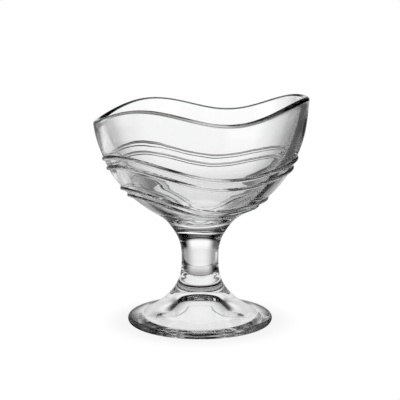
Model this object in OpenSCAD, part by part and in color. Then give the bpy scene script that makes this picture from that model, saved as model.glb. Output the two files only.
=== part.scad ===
// Parfait glass: a wavy-rimmed pressed bowl on a waisted stem and a round foot.
// Three clear glass pieces, sealed face to face. Origin: middle of the foot, on the table, +Z up.

/* [Foot] */
// Diameter of the foot
foot_d = 70; // [60:0.5:80]
// Thickness of the foot's rounded edge
foot_edge = 3.2; // [2.6:0.1:4]
// Height at which the foot's sweep passes into the stem's flare
sweep_top = 12.6; // [11.8:0.1:13.6]
// Diameter of the foot at that height
sweep_d = 31.4; // [28:0.2:34]
// Height of the seam between foot and stem
foot_top = 16; // [15:0.1:18]
// Steepness of the foot's upper face where it meets the edge, in degrees
foot_slope = 8; // [6:1:12]
// Diameter of the hollow under the foot
hollow_d = 54; // [50:0.5:56]
// Depth of the hollow under the foot
hollow_depth = 11.3; // [10.4:0.1:12]
// Radius of the hollow's rounded top
hollow_cap = 16; // [13:0.5:18]
// Steepness of the hollow below its rounded top, in degrees
hollow_steep = 40; // [36:1:42]
// Steepness of the hollow where it meets the standing ring, in degrees
hollow_slope = 16; // [12:1:18]

/* [Stem] */
// Diameter of the stem at its neck
neck_d = 17.8; // [15:0.1:21]
// Height of the neck above the table
neck_height = 31.5; // [29:0.1:34]
// Height of the seam between stem and bowl
stem_top = 45.6; // [44:0.1:47]
// Diameter of the seam between stem and bowl
stem_top_d = 26.6; // [24:0.2:29]
// How late the stem flares towards the foot
lower_flare = 2.8; // [2.4:0.1:3.2]
// How late the stem flares towards the bowl
upper_flare = 2.4; // [2.1:0.1:2.8]

/* [Bowl] */
// Diameter of the bowl at the mean height of its rim
bowl_d = 102.4; // [92:0.2:114]
// Thickness of the wall at the rim
wall = 3.5; // [2.8:0.1:4.4]
// Glass between the stem and the floor of the cup
floor_glass = 4.8; // [4:0.1:6]
// Fullness of the cup's inside: 2 is an ellipse, less is more pointed
cup_fullness = 1.72; // [1.65:0.01:1.85]

/* [Rim] */
// Mean height of the rim's top line
rim_height = 103.4; // [98:0.1:110]
// Lift of the rim on its right side
rim_lift = 3.1; // [0:0.1:4]
// Height of the wave that goes twice round the rim
rim_fold = 1.1; // [0:0.1:2]
// Height of the wave that goes three times round the rim
rim_wave = 3.3; // [1:0.1:4.5]
// Height of the wave that goes four times round the rim
rim_ripple = -1; // [-1.6:0.1:0]
// Height of the wave that goes five times round the rim
rim_flutter = -0.8; // [-1.2:0.1:0]

/* [Ribs] */
// Height of a rib above the wall
rib_height = 0.95; // [0.5:0.05:1]
// Width of a rib across its run
rib_width = 2.3; // [2:0.1:2.8]
// Mean height of the upper pair of ribs
upper_height = 75.5; // [74:0.1:78]
// Distance in height between the two ribs of the upper pair
upper_gap = 4.5; // [4:0.1:5]
// Mean height of the lower pair of ribs
lower_height = 59.5; // [58:0.1:61]
// Distance in height between the two ribs of the lower pair
lower_gap = 3.4; // [3:0.1:3.8]
// Lift of the upper pair on the right side
upper_lift = -1.6; // [-2.6:0.1:0]
// Lift of the lower pair on the right side
lower_lift = -3.2; // [-4:0.1:0]
// Height of the wave that goes twice round the ribs
rib_fold = 2.8; // [2:0.1:3.2]
// Height of the wave that goes three times round the upper pair
upper_wave = 2; // [1:0.1:3]
// Height of the wave that goes three times round the lower pair
lower_wave = 0.8; // [0.3:0.1:1.5]
// Height of the wave that goes four times round the ribs
rib_ripple = -0.9; // [-1.4:0.1:0]
// Lift of the ribs at the back
rib_lean = -1.5; // [-2:0.1:0]
// Height of the wave that goes twice round the ribs, an eighth of a turn on
rib_twist = 0.8; // [0:0.1:1.2]
// Dip of the lower pair along the back
lower_dip = 4; // [0:0.1:4.5]

/* [Hidden] */
glass = [0.86, 0.88, 0.89];
segments = 72;
curve_steps = 16;
foot_r = foot_d / 2;
sweep_r = sweep_d / 2;
hollow_r = hollow_d / 2;
neck_r = neck_d / 2;
stem_top_r = stem_top_d / 2;
bowl_r = bowl_d / 2;

// Slopes of the stem's outline, as radius gained per height, at the ends of its two flares
lower_slope = lower_flare * (sweep_r - neck_r) / (neck_height - sweep_top);
upper_slope = upper_flare * (stem_top_r - neck_r) / (stem_top - neck_height);

// Radius of the stem at height z
function stem_r(z) = z < neck_height
    ? neck_r + (sweep_r - neck_r) * pow((neck_height - z) / (neck_height - sweep_top), lower_flare)
    : neck_r + (stem_top_r - neck_r) * pow((z - neck_height) / (stem_top - neck_height), upper_flare);

// Rounded edge of the foot: the middle of its arc, and the arc's upper end
edge_r = foot_edge / 2;
edge_mid = [foot_r - edge_r, edge_r];
edge_end = edge_mid + edge_r * [sin(foot_slope), cos(foot_slope)];

// Corner where the tangents at the flare and at the edge meet, which steers the foot's upper face
edge_run = 1 / tan(foot_slope);
corner_drop = (sweep_r - edge_end[0] + edge_run * (sweep_top - edge_end[1])) / (edge_run - lower_slope);
corner = [sweep_r + lower_slope * corner_drop, sweep_top - corner_drop];

// Point at share t of a curve from p to q that is steered by c
function bend(p, c, q, t) = (1 - t) * (1 - t) * p + 2 * t * (1 - t) * c + t * t * q;

// Roof of the hollow: the end of its rounded top, and the corner that steers it from there to the ring
function cap_point(a) = [hollow_cap * sin(a), hollow_depth - hollow_cap * (1 - cos(a))];
cap_end = cap_point(hollow_steep);
cap_fall = tan(hollow_steep);
ring_fall = tan(hollow_slope);
roof_r = (cap_end[1] + cap_end[0] * cap_fall - hollow_r * ring_fall) / (cap_fall - ring_fall);
roof_corner = [roof_r, ring_fall * (hollow_r - roof_r)];

// Waves round the bowl at angle a from the right side, which give its wavy rim and ribs
function rim_z(a) = rim_height + rim_lift * cos(a) + rim_fold * cos(2 * a) + rim_wave * cos(3 * a)
    + rim_ripple * cos(4 * a) + rim_flutter * cos(5 * a);
function rib_z(a, height, lift, wave) = height + lift * cos(a) + rib_fold * cos(2 * a)
    + wave * cos(3 * a) + rib_ripple * cos(4 * a) + rib_lean * sin(a) + rib_twist * sin(2 * a);

// Share of the lower pair's dip at angle a: none in front, full along the back
function along_back(a) = let (s = max(sin(a), 0)) 1.15 * s * s / (s * s + 0.15);
function upper_z(a) = rib_z(a, upper_height, upper_lift, upper_wave);
function lower_z(a) = rib_z(a, lower_height, lower_lift, lower_wave) - lower_dip * along_back(a);

// Outline of the bowl's outside: shares of its height and of its flare, from the stem to the rim
outline = [[0, 0], [0.08, 0.1], [0.18, 0.33], [0.285, 0.53],
    [0.425, 0.72], [0.6, 0.86], [0.77, 0.95], [1, 1]];
last_knot = len(outline) - 1;
bowl_h = rim_height - stem_top;
bowl_flare = bowl_r - stem_top_r;
rim_slope = 0.15;
function chord(i) = (outline[i + 1][1] - outline[i][1]) / (outline[i + 1][0] - outline[i][0]);
function span(i) = outline[i + 1][0] - outline[i][0];
function knot_slope(i) = i == 0 ? upper_slope * bowl_h / bowl_flare
    : i == last_knot ? rim_slope
    : (chord(i - 1) * span(i) + chord(i) * span(i - 1)) / (span(i - 1) + span(i));
function knot_before(u) = max([for (i = [0 : last_knot - 1]) if (u >= outline[i][0] || i == 0) i]);
function between(i, t) = (1 - t) * (1 - t) * ((1 + 2 * t) * outline[i][1] + t * span(i) * knot_slope(i))
    + t * t * ((3 - 2 * t) * outline[i + 1][1] - (1 - t) * span(i) * knot_slope(i + 1));
function flare_share(u) = u > 1 ? 1 + rim_slope * (u - 1)
    : let (i = knot_before(u)) between(i, (u - outline[i][0]) / span(i));
function outer_r(z) = stem_top_r + bowl_flare * flare_share((z - stem_top) / bowl_h);
slope_step = 0.1;
function outer_slope(z) = (outer_r(z + slope_step / 2) - outer_r(z - slope_step / 2)) / slope_step;

// Inside of the cup: a full curve from the floor up to the rim
floor_z = stem_top + floor_glass;
cup_top = max([for (a = [0 : 5 : 355]) rim_z(a)]);
function cup_share(z) = pow(1 - pow((cup_top - z) / (cup_top - floor_z), 2), 1 / cup_fullness);
cup_r = (bowl_r - wall) / cup_share(rim_height);
function inner_r(z) = cup_r * cup_share(min(z, cup_top));

// Swell of a rib at distance d across its run: part of a circle
rib_round = (rib_width * rib_width / 4 + rib_height * rib_height) / (2 * rib_height);
function swell(d) = abs(d) < rib_width / 2
    ? sqrt(rib_round * rib_round - d * d) - rib_round + rib_height : 0;

// Point of the outside at height z and angle a, raised where it lies on a rib
function rib_swell(z, a, k) = swell((z - upper_z(a) - upper_gap / 2) * k)
    + swell((z - upper_z(a) + upper_gap / 2) * k)
    + swell((z - lower_z(a) - lower_gap / 2) * k)
    + swell((z - lower_z(a) + lower_gap / 2) * k);
function outer_point(z, a) = let (s = outer_slope(z), k = sqrt(1 + s * s), lift = rib_swell(z, a, k) / k)
    [(outer_r(z) + lift) * cos(a), (outer_r(z) + lift) * sin(a), z - lift * s];

// Rows of the outside: heights above or below the middle of a pair that carry its two ribs
rib_steps = [-1, -0.6, 0, 0.6, 1];
function half_rib(z) = rib_width / 2 / sqrt(1 + outer_slope(z) * outer_slope(z));
function pair_rows(gap, half) = [for (side = [-1, 1]) for (s = rib_steps) side * gap / 2 + s * half];
upper_rows = pair_rows(upper_gap, half_rib(upper_height));
lower_rows = pair_rows(lower_gap, half_rib(lower_height));
upper_last = upper_rows[len(upper_rows) - 1];
lower_last = lower_rows[len(lower_rows) - 1];
rim_half = wall / 2;
function mix(p, q, t) = p + (q - p) * t;
base_steps = 6;
mid_steps = 6;
top_steps = 10;
rim_steps = 6;
cup_steps = 18;
function column_z(a) = concat(
    [for (i = [0 : base_steps - 1]) mix(stem_top, lower_z(a) + lower_rows[0], i / base_steps)],
    [for (d = lower_rows) lower_z(a) + d],
    [for (i = [1 : mid_steps - 1]) mix(lower_z(a) + lower_last, upper_z(a) + upper_rows[0], i / mid_steps)],
    [for (d = upper_rows) upper_z(a) + d],
    [for (i = [1 : top_steps]) mix(upper_z(a) + upper_last, rim_z(a) - rim_half, i / top_steps)]);

// Rounded top of the wall, from its outside over to its inside, at share t
function rim_point(a, t) = let (z = rim_z(a) - rim_half, ro = outer_r(z), ri = inner_r(z),
    r = (ro + ri) / 2 + (ro - ri) / 2 * cos(180 * t))
    [r * cos(a), r * sin(a), z + rim_half * sin(180 * t)];

// Point of the inside at share f of the way up from the floor to the rim
function inner_point(a, f) = let (z = mix(floor_z, rim_z(a) - rim_half, f * f))
    [inner_r(z) * cos(a), inner_r(z) * sin(a), z];
function column(a) = concat(
    [for (z = column_z(a)) outer_point(z, a)],
    [for (i = [1 : rim_steps]) rim_point(a, i / rim_steps)],
    [for (i = [cup_steps - 1 : -1 : 1]) inner_point(a, i / cup_steps)]);

module bowl() {
    columns = [for (i = [0 : segments - 1]) column(360 * i / segments)];
    rows = len(columns[0]);
    points = concat([for (c = columns) each c], [[0, 0, stem_top], [0, 0, floor_z]]);
    bottom = segments * rows;
    top = bottom + 1;
    function at(i, j) = (i % segments) * rows + j;
    sides = [for (i = [0 : segments - 1]) for (j = [0 : rows - 2])
        each [[at(i, j), at(i, j + 1), at(i + 1, j)], [at(i + 1, j), at(i, j + 1), at(i + 1, j + 1)]]];
    seat = [for (i = [0 : segments - 1]) [bottom, at(i, 0), at(i + 1, 0)]];
    cup_floor = [for (i = [0 : segments - 1]) [at(i, rows - 1), top, at(i + 1, rows - 1)]];
    color(glass) polyhedron(points, concat(sides, seat, cup_floor), convexity = 6);
}

module stem() {
    steps = 2 * curve_steps;
    side = [for (i = [0 : steps]) let (z = mix(foot_top, stem_top, i / steps)) [stem_r(z), z]];
    color(glass) rotate_extrude($fn = segments) polygon(concat([[0, foot_top]], side, [[0, stem_top]]));
}

module foot() {
    cap = [for (i = [0 : curve_steps]) cap_point(hollow_steep * i / curve_steps)];
    roof = [for (i = [1 : curve_steps]) bend(cap_end, roof_corner, [hollow_r, 0], i / curve_steps)];
    edge_turn = 180 - foot_slope;
    edge = [for (i = [0 : curve_steps]) let (a = edge_turn * i / curve_steps)
        edge_mid + edge_r * [sin(a), -cos(a)]];
    upper = [for (i = [1 : curve_steps]) bend(edge_end, corner, [sweep_r, sweep_top], i / curve_steps)];
    flare = [for (i = [1 : 6]) let (z = mix(sweep_top, foot_top, i / 6)) [stem_r(z), z]];
    color(glass) rotate_extrude($fn = segments)
        polygon(concat(cap, roof, edge, upper, flare, [[0, foot_top]]));
}

bowl();
stem();
foot();
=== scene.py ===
# Parfait glass: the foot, stem and bowl as clear pressed glass, in the order they are sealed together.
import math

import bpy
import numpy as np
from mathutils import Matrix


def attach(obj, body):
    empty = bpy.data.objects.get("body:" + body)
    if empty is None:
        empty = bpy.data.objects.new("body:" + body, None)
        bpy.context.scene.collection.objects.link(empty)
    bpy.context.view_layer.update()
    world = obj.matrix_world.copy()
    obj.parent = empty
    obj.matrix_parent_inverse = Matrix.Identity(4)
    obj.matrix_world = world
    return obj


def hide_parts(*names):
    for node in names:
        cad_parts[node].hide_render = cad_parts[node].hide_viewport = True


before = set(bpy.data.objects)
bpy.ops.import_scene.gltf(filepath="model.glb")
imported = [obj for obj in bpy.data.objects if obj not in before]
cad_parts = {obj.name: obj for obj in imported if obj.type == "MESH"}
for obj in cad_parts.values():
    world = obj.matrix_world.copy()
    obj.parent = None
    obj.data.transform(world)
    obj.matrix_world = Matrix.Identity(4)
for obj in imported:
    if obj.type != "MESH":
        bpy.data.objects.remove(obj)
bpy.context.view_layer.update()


# Foot: a round plate of clear soda-lime glass, pressed in a mould and fire-polished.
# Its edge is round, it stands on a flat ring, and its middle is domed underneath.
# Its upper face sweeps up into the stem, which is sealed onto it hot.
mm = 0.001
turn_steps = 192
foot_r = 35.0
foot_edge_r = 1.6
foot_slope = math.radians(8)
foot_top = 16.0
sweep_top = 12.6
sweep_r = 15.7
neck_r = 8.9
neck_height = 31.5
lower_flare = 2.8
hollow_r = 27.0
hollow_depth = 11.3
hollow_cap = 16.0
hollow_steep = math.radians(40)
hollow_slope = math.radians(16)
cap_steps, bend_steps, edge_steps, flare_steps = 16, 24, 20, 8
weld_reach, seal_reach, seal_level = 0.001, 0.01, 0.99
smooth_angle = math.radians(35)
glass_ior = 1.5
slow_scale, streak_scale, fine_scale = 70, 160, 900
plain_detail, fine_detail = 1, 3
even, upright = (1, 1, 1), (1, 1, 0.25)
wear_roughness = 0.12
clear_tint, faint_tint = (1, 1, 1, 1), (0.986, 0.992, 0.99, 1)


def turned(name, outline):
    """A round piece from an outline of (radius, height) in millimetres that starts and ends on the axis."""
    bpy.ops.object.select_all(action="DESELECT")
    bpy.ops.mesh.primitive_plane_add(size=mm)
    piece = bpy.context.object
    piece.name = piece.data.name = name
    bpy.ops.object.mode_set(mode="EDIT")
    bpy.ops.mesh.merge(type="CENTER")
    radius, height = outline[0]
    bpy.ops.transform.translate(value=(radius * mm, 0, height * mm))
    for next_radius, next_height in outline[1:]:
        step = ((next_radius - radius) * mm, 0, (next_height - height) * mm)
        bpy.ops.mesh.extrude_region_move(TRANSFORM_OT_translate={"value": step})
        radius, height = next_radius, next_height
    bpy.ops.mesh.select_all(action="SELECT")
    bpy.ops.mesh.spin(steps=turn_steps, angle=2 * math.pi, center=(0, 0, 0), axis=(0, 0, 1))
    bpy.ops.mesh.select_all(action="SELECT")
    bpy.ops.mesh.remove_doubles(threshold=weld_reach * mm)
    bpy.ops.mesh.normals_make_consistent(inside=False)
    bpy.ops.object.mode_set(mode="OBJECT")
    return piece


def math_node(tree, operation, *values):
    """The result of a math node on numbers or on the results of other nodes."""
    node = tree.nodes.new("ShaderNodeMath")
    node.operation = operation
    for socket, value in zip(node.inputs, values):
        if hasattr(value, "links"):
            tree.links.new(value, socket)
        else:
            socket.default_value = value
    return node.outputs[0]


def times(tree, *values):
    product = values[0]
    for value in values[1:]:
        product = math_node(tree, "MULTIPLY", product, value)
    return product


def noise(tree, place, scale, detail, stretch):
    mapping, texture = tree.nodes.new("ShaderNodeMapping"), tree.nodes.new("ShaderNodeTexNoise")
    mapping.inputs["Scale"].default_value = stretch
    texture.inputs["Scale"].default_value = scale
    texture.inputs["Detail"].default_value = detail
    tree.links.new(place, mapping.inputs["Vector"])
    tree.links.new(mapping.outputs["Vector"], texture.inputs["Vector"])
    return texture.outputs["Fac"]


def pressed_surface():
    """Node group: the slow waves, faint streaks and fine wear on a face of fire-polished glass."""
    group = bpy.data.node_groups.new("pressed_surface", "ShaderNodeTree")
    for name in ("Wave", "Streak", "Wear Height"):
        group.interface.new_socket(name, in_out="INPUT", socket_type="NodeSocketFloat")
    group.interface.new_socket("Height", in_out="OUTPUT", socket_type="NodeSocketFloat")
    group.interface.new_socket("Roughness", in_out="OUTPUT", socket_type="NodeSocketFloat")
    group.interface.new_socket("Color", in_out="OUTPUT", socket_type="NodeSocketColor")
    nodes, links = group.nodes, group.links
    given, result = nodes.new("NodeGroupInput").outputs, nodes.new("NodeGroupOutput").inputs
    place = nodes.new("ShaderNodeTexCoord").outputs["Object"]
    slow = noise(group, place, slow_scale, plain_detail, even)
    streak = noise(group, place, streak_scale, plain_detail, upright)
    fine = noise(group, place, fine_scale, fine_detail, even)
    waves_high, streaks_high = times(group, slow, given["Wave"]), times(group, streak, given["Streak"])
    links.new(math_node(group, "ADD", waves_high, streaks_high), result["Height"])
    split, low = nodes.new("ShaderNodeSeparateXYZ"), nodes.new("ShaderNodeMapRange")
    links.new(place, split.inputs[0])
    links.new(split.outputs["Z"], low.inputs["Value"])
    links.new(given["Wear Height"], low.inputs["From Max"])
    low.inputs["To Min"].default_value, low.inputs["To Max"].default_value = wear_roughness, 0.0
    links.new(times(group, fine, low.outputs["Result"]), result["Roughness"])
    shade = nodes.new("ShaderNodeMix")
    shade.data_type = "RGBA"
    shade.inputs[6].default_value, shade.inputs[7].default_value = clear_tint, faint_tint
    links.new(slow, shade.inputs[0])
    links.new(shade.outputs[2], result["Color"])
    return group


surface = pressed_surface()


def clear_glass(name, wave, streak, wear_height):
    """Clear pressed glass, smooth but for the mould's faint unevenness and wear where it stands."""
    material = bpy.data.materials.new(name)
    material.use_nodes = True
    tree = material.node_tree
    shader = tree.nodes["Principled BSDF"]
    face, bump = tree.nodes.new("ShaderNodeGroup"), tree.nodes.new("ShaderNodeBump")
    face.node_tree = surface
    for socket, value in (("Wave", wave), ("Streak", streak), ("Wear Height", wear_height * mm)):
        face.inputs[socket].default_value = value
    bump.inputs["Distance"].default_value = mm
    tree.links.new(face.outputs["Height"], bump.inputs["Height"])
    tree.links.new(bump.outputs["Normal"], shader.inputs["Normal"])
    tree.links.new(face.outputs["Roughness"], shader.inputs["Roughness"])
    tree.links.new(face.outputs["Color"], shader.inputs["Base Color"])
    shader.inputs["IOR"].default_value = glass_ior
    shader.inputs["Transmission Weight"].default_value = 1
    return material


def fused_seam(name):
    """The face of a hot seal: the glass is one across it, so it bends no light."""
    material = bpy.data.materials.new(name)
    material.use_nodes = True
    shader = material.node_tree.nodes["Principled BSDF"]
    shader.inputs["Alpha"].default_value = 0
    return material


def finish_glass(piece, node, seam_heights, glass):
    """Smooths a piece, marks its flat seal faces, hangs it on the root body and hides its node."""
    piece.data.materials.append(glass)
    piece.data.materials.append(fused_seam(node + "_seal"))
    for face in piece.data.polygons:
        level = any(abs(face.center.z - height * mm) < seal_reach * mm for height in seam_heights)
        face.material_index = 1 if level and abs(face.normal.z) > seal_level else 0
    bpy.ops.object.select_all(action="DESELECT")
    piece.select_set(True)
    bpy.context.view_layer.objects.active = piece
    bpy.ops.object.shade_smooth_by_angle(angle=smooth_angle)
    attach(piece, "root")
    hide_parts(node)


def bend(start, corner, end, share):
    """A point along a curve from start to end that is steered by a corner."""
    rest = 1 - share
    return tuple(rest * rest * a + 2 * rest * share * b + share * share * c
                 for a, b, c in zip(start, corner, end))


def flare_r(height):
    """Radius of the flare that the foot's upper part and the stem's lower part share."""
    return neck_r + (sweep_r - neck_r) * ((neck_height - height) / (neck_height - sweep_top)) ** lower_flare


cap = []
for i in range(cap_steps + 1):
    lean = hollow_steep * i / cap_steps
    cap.append((hollow_cap * math.sin(lean), hollow_depth - hollow_cap * (1 - math.cos(lean))))
fall, ring_fall = math.tan(hollow_steep), math.tan(hollow_slope)
corner_r = (cap[-1][1] + cap[-1][0] * fall - hollow_r * ring_fall) / (fall - ring_fall)
roof_corner = (corner_r, ring_fall * (hollow_r - corner_r))
roof = cap + [bend(cap[-1], roof_corner, (hollow_r, 0), i / bend_steps) for i in range(1, bend_steps + 1)]
edge = []
for i in range(edge_steps + 1):
    lean = (math.pi - foot_slope) * i / edge_steps
    edge.append((foot_r - foot_edge_r + foot_edge_r * math.sin(lean),
                 foot_edge_r - foot_edge_r * math.cos(lean)))
edge_run = 1 / math.tan(foot_slope)
sweep_slope = lower_flare * (sweep_r - neck_r) / (neck_height - sweep_top)
drop = (sweep_r - edge[-1][0] + edge_run * (sweep_top - edge[-1][1])) / (edge_run - sweep_slope)
sweep_corner = (sweep_r + sweep_slope * drop, sweep_top - drop)
sweep = [bend(edge[-1], sweep_corner, (sweep_r, sweep_top), i / bend_steps) for i in range(1, bend_steps + 1)]
flare_levels = [sweep_top + (foot_top - sweep_top) * i / flare_steps for i in range(1, flare_steps + 1)]
flare = [(flare_r(z), z) for z in flare_levels]
foot = turned("foot_glass_piece", roof + edge + sweep + flare + [(0, foot_top)])
foot_glass = clear_glass("foot_glass", wave=0.05, streak=0.01, wear_height=0.2)
finish_glass(foot, "foot", [foot_top], foot_glass)


# Stem: a short solid waist of the same clear glass, drawn and turned while hot.
# It flares to a seal on the foot below and to another under the bowl above.
stem_top = 45.6
stem_top_r = 13.3
upper_flare = 2.4
stem_steps = 60


def stem_r(height):
    if height < neck_height:
        return flare_r(height)
    return neck_r + (stem_top_r - neck_r) * ((height - neck_height) / (stem_top - neck_height)) ** upper_flare


levels = [foot_top + (stem_top - foot_top) * i / stem_steps for i in range(stem_steps + 1)]
stem = turned("stem_glass_piece", [(0, foot_top)] + [(stem_r(z), z) for z in levels] + [(0, stem_top)])
stem_glass = clear_glass("stem_glass", wave=0.03, streak=0.01, wear_height=0.0)
finish_glass(stem, "stem", [foot_top, stem_top], stem_glass)


# Bowl: pressed clear glass with a wavy, fire-polished rim and two pairs of raised ribs that wave round
# its outside. Inside it is smooth. Its thick underside is sealed to the stem.
bowl_r = 51.2
wall = 3.5
floor_z = stem_top + 4.8
cup_fullness = 1.72
rim_height = 103.4
rim_edge = rim_height - wall / 2
rim_waves = (3.1, 1.1, 3.3, -1.0, -0.8)
upper_height, upper_gap, upper_waves = 75.5, 4.5, (-1.6, 2.8, 2.0, -0.9)
lower_height, lower_gap, lower_waves = 59.5, 3.4, (-3.2, 2.8, 0.8, -0.9)
rib_lean, rib_twist, lower_dip, dip_ease = -1.5, 0.8, 4.0, 0.15
rib_height, rib_width = 0.95, 2.3
rib_round = (rib_width ** 2 / 4 + rib_height ** 2) / (2 * rib_height)
outline_heights = np.array([0, 0.08, 0.18, 0.285, 0.425, 0.6, 0.77, 1])
outline_flares = np.array([0, 0.1, 0.33, 0.53, 0.72, 0.86, 0.95, 1])
rim_slope = 0.15
stem_slope = upper_flare * (stem_top_r - neck_r) / (stem_top - neck_height)
band = 4.0
rows_below, rib_rows, rows_between, rows_above = 14, 80, 8, 22
crest_steps, lip_steps, cup_steps = 361, 14, 48
probe, hair = 0.05, 0.001


def waves(angle, heights):
    """Height of a line that waves round the bowl: once, twice, three times and so on."""
    return sum(height * np.cos((k + 1) * angle) for k, height in enumerate(heights))


def knot_slopes():
    spans = np.diff(outline_heights)
    chords = np.diff(outline_flares) / spans
    inner = (chords[:-1] * spans[1:] + chords[1:] * spans[:-1]) / (spans[:-1] + spans[1:])
    first = stem_slope * (rim_height - stem_top) / (bowl_r - stem_top_r)
    return np.concatenate([[first], inner, [rim_slope]])


def outer_r(height):
    """Radius of the bowl's outside, without its ribs: a smooth curve through the outline's points."""
    share = (np.asarray(height, float) - stem_top) / (rim_height - stem_top)
    slopes = knot_slopes()
    i = np.clip(np.searchsorted(outline_heights, share) - 1, 0, len(slopes) - 2)
    span = outline_heights[i + 1] - outline_heights[i]
    t = np.clip((share - outline_heights[i]) / span, 0, 1)
    flare = ((1 - t) ** 2 * ((1 + 2 * t) * outline_flares[i] + t * span * slopes[i])
             + t ** 2 * ((3 - 2 * t) * outline_flares[i + 1] - (1 - t) * span * slopes[i + 1]))
    return stem_top_r + (bowl_r - stem_top_r) * (flare + rim_slope * np.maximum(share - 1, 0))


crest = rim_height + max(waves(a, rim_waves) for a in np.linspace(0, 2 * math.pi, crest_steps))


def cup_share(height):
    """How far the cup has opened at a height, from nothing at its floor to all at the rim's crest."""
    depth = (crest - np.minimum(height, crest)) / (crest - floor_z)
    return np.clip(1 - depth ** 2, 0, 1) ** (1 / cup_fullness)


def inner_r(height):
    return (bowl_r - wall) / cup_share(rim_height) * cup_share(height)


def swell(distance):
    """How far a rib stands out at a distance from its middle."""
    bead = np.sqrt(np.maximum(rib_round ** 2 - np.square(distance), 0)) - rib_round + rib_height
    return np.maximum(bead, 0) * (np.abs(distance) < rib_width / 2)


def outside_point(height):
    """A point of the outside in section, raised along its normal where it lies on a rib."""
    slope = (outer_r(height + probe) - outer_r(height - probe)) / (2 * probe)
    stretch = math.hypot(1, slope)
    pairs = ((upper_height, upper_gap), (lower_height, lower_gap))
    centres = [middle + side * gap / 2 for middle, gap in pairs for side in (-1, 1)]
    raised = sum(swell((height - centre) * stretch) for centre in centres) / stretch
    return (float(outer_r(height) + raised), float(height - raised * slope))


rows = np.concatenate([
    np.linspace(stem_top, lower_height - band, rows_below, endpoint=False),
    np.linspace(lower_height - band, lower_height + band, rib_rows, endpoint=False),
    np.linspace(lower_height + band, upper_height - band, rows_between, endpoint=False),
    np.linspace(upper_height - band, upper_height + band, rib_rows, endpoint=False),
    np.linspace(upper_height + band, rim_edge, rows_above)])
rim_out, rim_in = float(outer_r(rim_edge)), float(inner_r(rim_edge))
lip = []
for i in range(1, lip_steps):
    lean = math.pi * i / lip_steps
    lip.append(((rim_out + rim_in) / 2 + (rim_out - rim_in) / 2 * math.cos(lean),
                rim_edge + wall / 2 * math.sin(lean)))
cup_levels = [floor_z + (rim_edge - floor_z) * (1 - i / cup_steps) ** 2 for i in range(cup_steps)]
section = ([(0, stem_top)] + [outside_point(z) for z in rows] + lip
           + [(float(inner_r(z)), z) for z in cup_levels] + [(0, floor_z)])
bowl = turned("bowl_glass_piece", section)

# The turned bowl is level all round. Its rim and ribs are now lifted and lowered along their waves.
points = np.empty(len(bowl.data.vertices) * 3)
bowl.data.vertices.foreach_get("co", points)
points = points.reshape(-1, 3) / mm
radius = np.hypot(points[:, 0], points[:, 1])
angle = np.arctan2(points[:, 1], points[:, 0])
height = points[:, 2]
rim_wave = waves(angle, rim_waves)
rib_sway = rib_lean * np.sin(angle) + rib_twist * np.sin(2 * angle)
back = np.maximum(np.sin(angle), 0) ** 2
upper_wave = waves(angle, upper_waves) + rib_sway
lower_wave = waves(angle, lower_waves) + rib_sway - lower_dip * (1 + dip_ease) * back / (back + dip_ease)
is_lip = height > rim_edge + hair
is_cup = ~is_lip & (height > floor_z - hair) & (radius < (outer_r(height) + inner_r(height)) / 2)
knots = np.array([stem_top, lower_height - band, lower_height + band,
                  upper_height - band, upper_height + band, rim_edge])
lifts = np.stack([0 * angle, lower_wave, lower_wave, upper_wave, upper_wave, rim_wave])
k = np.clip(np.searchsorted(knots, height) - 1, 0, len(knots) - 2)
share = np.clip((height - knots[k]) / (knots[k + 1] - knots[k]), 0, 1)
column = np.arange(len(height))
outside_lift = lifts[k, column] * (1 - share) + lifts[k + 1, column] * share
cup_lift = rim_wave * (height - floor_z) / (rim_edge - floor_z)
raised_height = height + np.where(is_lip, rim_wave, np.where(is_cup, cup_lift, outside_lift))
lip_out, lip_in = outer_r(rim_edge + rim_wave), inner_r(rim_edge + rim_wave)
lip_share = (radius - rim_in) / (rim_out - rim_in)
outside_radius = outer_r(raised_height) + radius - outer_r(height)
raised_radius = np.where(is_lip, lip_in + (lip_out - lip_in) * lip_share,
                         np.where(is_cup, inner_r(raised_height), outside_radius))
raised_radius = np.where(radius < hair, 0, np.where(height < stem_top + hair, radius, raised_radius))
raised = np.stack([raised_radius * np.cos(angle), raised_radius * np.sin(angle), raised_height], 1) * mm
bowl.data.vertices.foreach_set("co", raised.ravel())
bowl.data.update()
bowl_glass = clear_glass("bowl_glass", wave=0.06, streak=0.015, wear_height=0.0)
finish_glass(bowl, "bowl", [stem_top], bowl_glass)


# Studio: a white panel behind the glass and dark round it, as clear glass is lit so that its edges read
# dark on white. Panels also stand at other sides, and a low card that glows with painted light, bright in
# its middle and dimmer at its sides, stands behind the stem. Seen through the glass, the floor glows in
# painted strips of light, with painted shade close round the foot and a painted pool of light under the
# foot's hollow. The camera itself sees plain white with a faint painted shadow at the foot.
# Each panel: its middle in degrees, light on the wall and on the floor, half widths where full and gone.
panels = ((0, 1.05, 1.0, 12, 34), (45, 0.15, 0.8, 10, 25), (90, 0.9, 0.45, 10, 22), (225, 0.8, 0.8, 14, 24))
panel_size, panel_distance = 0.5, 0.25
panel_top, panel_foot, panel_foot_light = (-0.06, -0.14), (-0.25, -0.21), 0.8
floor_size, floor_drop = 12, 0.02
# Painted light on the floor, seen only through the glass: glowing strips, painted shade close round the foot,
# and a painted pool of light under the hollow.
close_start, close_stop = (0.0355, 0.037), (0.27, 0.25)
close_rise, close_light = (0.036, 0.08), (0.36, 0.74)
close_fall, close_rest = (0.085, 0.1), 0.15
far_start, far_stop = (0.06, 0.14), (0.36, 0.3)
front_turn, front_start, front_light = (105, 130), (0.06, 0.085), 0.4
side_turn, side_end, side_start = (10, 35), (120, 95), (0.09, 0.2)
left_light, right_light = 0.2, 0.1
hollow_fade, hollow_light = (0.0335, 0.027), 0.9
# A painted shadow: the floor that the camera sees is darker close round the foot.
shade_fade, shade_light = (0.034, 0.05), 0.9
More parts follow.
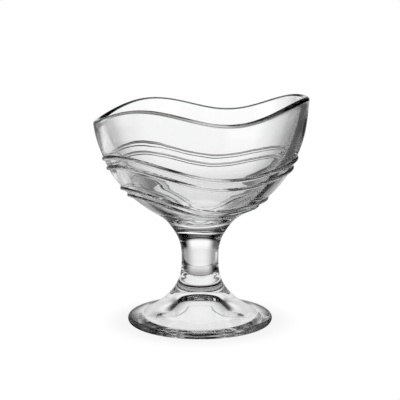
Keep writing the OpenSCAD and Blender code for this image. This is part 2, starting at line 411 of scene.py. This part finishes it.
# The card glows with painted light: bright in its middle and dimmer at its sides, which paints shade on the
# stem's sides seen through the glass.
card_size, card_back = 0.2, 0.09
card_right, card_left, card_top = (0.098, 0.085), (-0.09, -0.07), (-0.05, -0.075)
card_fade, card_light = (0.055, 0.006), (0.36, 0.9)
overhead, overhead_light = (0.88, 0.95), 0.05
bpy.ops.object.select_all(action="DESELECT")
bpy.ops.mesh.primitive_plane_add(size=floor_size, location=(0, 0, -floor_drop * mm))
floor = bpy.context.object
floor.name = "floor"


def brightest(tree, *values):
    light = values[0]
    for value in values[1:]:
        light = math_node(tree, "MAXIMUM", light, value)
    return light


def smooth(tree, value, span, start=0.0, end=1.0):
    """Goes smoothly from start to end as the value goes through a span."""
    node = tree.nodes.new("ShaderNodeMapRange")
    node.interpolation_type = "SMOOTHSTEP"
    tree.links.new(value, node.inputs["Value"])
    for socket, number in (("From Min", span[0]), ("From Max", span[1]), ("To Min", start), ("To Max", end)):
        node.inputs[socket].default_value = number
    return node.outputs["Result"]


def smooth_turn(tree, value, degrees, start=0.0, end=1.0):
    return smooth(tree, value, [math.radians(degree) for degree in degrees], start, end)


def lit_paint(name):
    """An empty material that shines white, with the place on the object and what kind of ray sees it."""
    material = bpy.data.materials.new(name)
    material.use_nodes = True
    tree = material.node_tree
    tree.nodes.clear()
    out = tree.nodes.new("ShaderNodeOutputMaterial")
    glow = tree.nodes.new("ShaderNodeEmission")
    glow.inputs["Color"].default_value = (1, 1, 1, 1)
    place = tree.nodes.new("ShaderNodeTexCoord")
    split = tree.nodes.new("ShaderNodeSeparateXYZ")
    tree.links.new(place.outputs["Object"], split.inputs[0])
    path = tree.nodes.new("ShaderNodeLightPath")
    return material, tree, out, glow, split.outputs, path.outputs


def in_glass(tree, path):
    """1 where a sheet is seen through glass or in gloss, and 0 for the camera."""
    return brightest(tree, path["Is Transmission Ray"], path["Is Glossy Ray"])


paint, tree, out, glow, at, path = lit_paint("floor_paint")
x, y = at["X"], at["Y"]
reach = math_node(tree, "SQRT", math_node(tree, "ADD", times(tree, x, x), times(tree, y, y)))
turn = math_node(tree, "ARCTAN2", times(tree, x, -1.0), y)
# Seen through the glass, the floor glows in painted strips of light. The strip behind the foot is painted
# darker close to the foot, as painted shade.
strips = []
for middle, wall_light, floor_light, full, gone in panels:
    away = math_node(tree, "SUBTRACT", turn, math.radians(middle))
    away = math_node(tree, "ABSOLUTE", math_node(tree, "WRAP", away, math.pi, -math.pi))
    strips.append(smooth_turn(tree, away, (gone, full), 0.0, floor_light))
close = times(tree, strips[0], smooth(tree, reach, close_rise, *close_light),
              smooth(tree, reach, close_start), smooth(tree, reach, close_fall, 1.0, close_rest),
              smooth(tree, reach, close_stop))
far = times(tree, brightest(tree, *strips[1:]), smooth(tree, reach, far_start), smooth(tree, reach, far_stop))
front = times(tree, smooth_turn(tree, math_node(tree, "ABSOLUTE", turn), front_turn, 0.0, front_light),
              smooth(tree, reach, front_start))
to_right = times(tree, turn, -1.0)
left = times(tree, smooth_turn(tree, turn, side_turn, 0.0, left_light), smooth_turn(tree, turn, side_end))
right = times(tree, smooth_turn(tree, to_right, side_turn, 0.0, right_light),
              smooth_turn(tree, to_right, side_end))
side = times(tree, brightest(tree, left, right), smooth(tree, reach, side_start))
# A painted pool of light on the floor under the foot's hollow, seen through the glass.
hollow = smooth(tree, reach, hollow_fade, 0.0, hollow_light)
# The camera sees the floor white, with a painted shadow that darkens it close round the foot.
seen = times(tree, path["Is Camera Ray"], smooth(tree, reach, shade_fade, shade_light, 1.0))
unseen = times(tree, brightest(tree, close, far, front, side, hollow),
               math_node(tree, "SUBTRACT", 1.0, path["Is Camera Ray"]))
tree.links.new(math_node(tree, "ADD", seen, unseen), glow.inputs["Strength"])
tree.links.new(glow.outputs[0], out.inputs["Surface"])
floor.data.materials.append(paint)

# A panel adds its light to what is behind it, so that panels which overlap hide nothing of each other.
for number, (middle, wall_light, floor_light, full, gone) in enumerate(panels):
    turned_by = math.radians(middle)
    bpy.ops.object.select_all(action="DESELECT")
    spot = (-panel_distance * math.sin(turned_by), panel_distance * math.cos(turned_by), panel_size / 2)
    bpy.ops.mesh.primitive_plane_add(size=panel_size, rotation=(math.pi / 2, 0, turned_by), location=spot)
    panel = bpy.context.object
    panel.name = "panel_%d" % number
    paint, tree, out, glow, at, path = lit_paint(panel.name)
    away = math_node(tree, "ARCTAN2", math_node(tree, "ABSOLUTE", at["X"]), panel_distance)
    light = times(tree, smooth_turn(tree, away, (gone, full), 0.0, wall_light),
                  smooth(tree, at["Y"], panel_top), smooth(tree, at["Y"], panel_foot, panel_foot_light, 1.0))
    tree.links.new(times(tree, light, in_glass(tree, path)), glow.inputs["Strength"])
    clear, both = tree.nodes.new("ShaderNodeBsdfTransparent"), tree.nodes.new("ShaderNodeAddShader")
    tree.links.new(glow.outputs[0], both.inputs[0])
    tree.links.new(clear.outputs[0], both.inputs[1])
    tree.links.new(both.outputs[0], out.inputs["Surface"])
    panel.data.materials.append(paint)

# The card hides what is behind it, and glows with painted light, bright in its middle and dimmer at its
# sides.
bpy.ops.object.select_all(action="DESELECT")
bpy.ops.mesh.primitive_plane_add(
    size=card_size, location=(0, card_back, card_size / 2), rotation=(math.pi / 2, 0, 0))
card = bpy.context.object
card.name = "card"
paint, tree, out, glow, at, path = lit_paint("card")
cover = times(tree, smooth(tree, at["X"], card_right), smooth(tree, at["X"], card_left),
              smooth(tree, at["Y"], card_top), in_glass(tree, path))
aside = math_node(tree, "ABSOLUTE", at["X"])
tree.links.new(smooth(tree, aside, card_fade, *card_light), glow.inputs["Strength"])
clear, choice = tree.nodes.new("ShaderNodeBsdfTransparent"), tree.nodes.new("ShaderNodeMixShader")
tree.links.new(cover, choice.inputs["Fac"])
tree.links.new(clear.outputs[0], choice.inputs[1])
tree.links.new(glow.outputs[0], choice.inputs[2])
tree.links.new(choice.outputs[0], out.inputs["Surface"])
card.data.materials.append(paint)

world = bpy.data.worlds.new("studio")
bpy.context.scene.world = world
world.use_nodes = True
tree = world.node_tree
tree.nodes.clear()
out = tree.nodes.new("ShaderNodeOutputWorld")
sky = tree.nodes.new("ShaderNodeBackground")
sky.inputs["Color"].default_value = (1, 1, 1, 1)
tree.links.new(sky.outputs[0], out.inputs["Surface"])
direction = tree.nodes.new("ShaderNodeTexCoord")
split = tree.nodes.new("ShaderNodeSeparateXYZ")
tree.links.new(direction.outputs["Generated"], split.inputs[0])
path = tree.nodes.new("ShaderNodeLightPath")
above = smooth(tree, split.outputs["Z"], overhead, 0.0, overhead_light)
tree.links.new(brightest(tree, above, path.outputs["Is Camera Ray"]), sky.inputs["Strength"])


# Camera: a long lens a little above the rim, at the photograph's viewing angle.
# Light may pass through many faces, because it crosses several walls of glass.
camera_back, camera_height = 510.0, 142.8
camera_tilt = 9.32
camera_data = bpy.data.cameras.new("camera")
camera = bpy.data.objects.new("camera", camera_data)
bpy.context.scene.collection.objects.link(camera)
camera.location = (0, -camera_back * mm, camera_height * mm)
camera.rotation_euler = (math.radians(90 - camera_tilt), 0, 0)
camera_data.sensor_width = 36
camera_data.lens = 97.0
bpy.context.scene.camera = camera
bpy.context.scene.view_settings.view_transform = "Standard"
cycles = bpy.context.scene.cycles
cycles.max_bounces = 32
cycles.transmission_bounces = 32
cycles.glossy_bounces = 16
cycles.transparent_max_bounces = 32
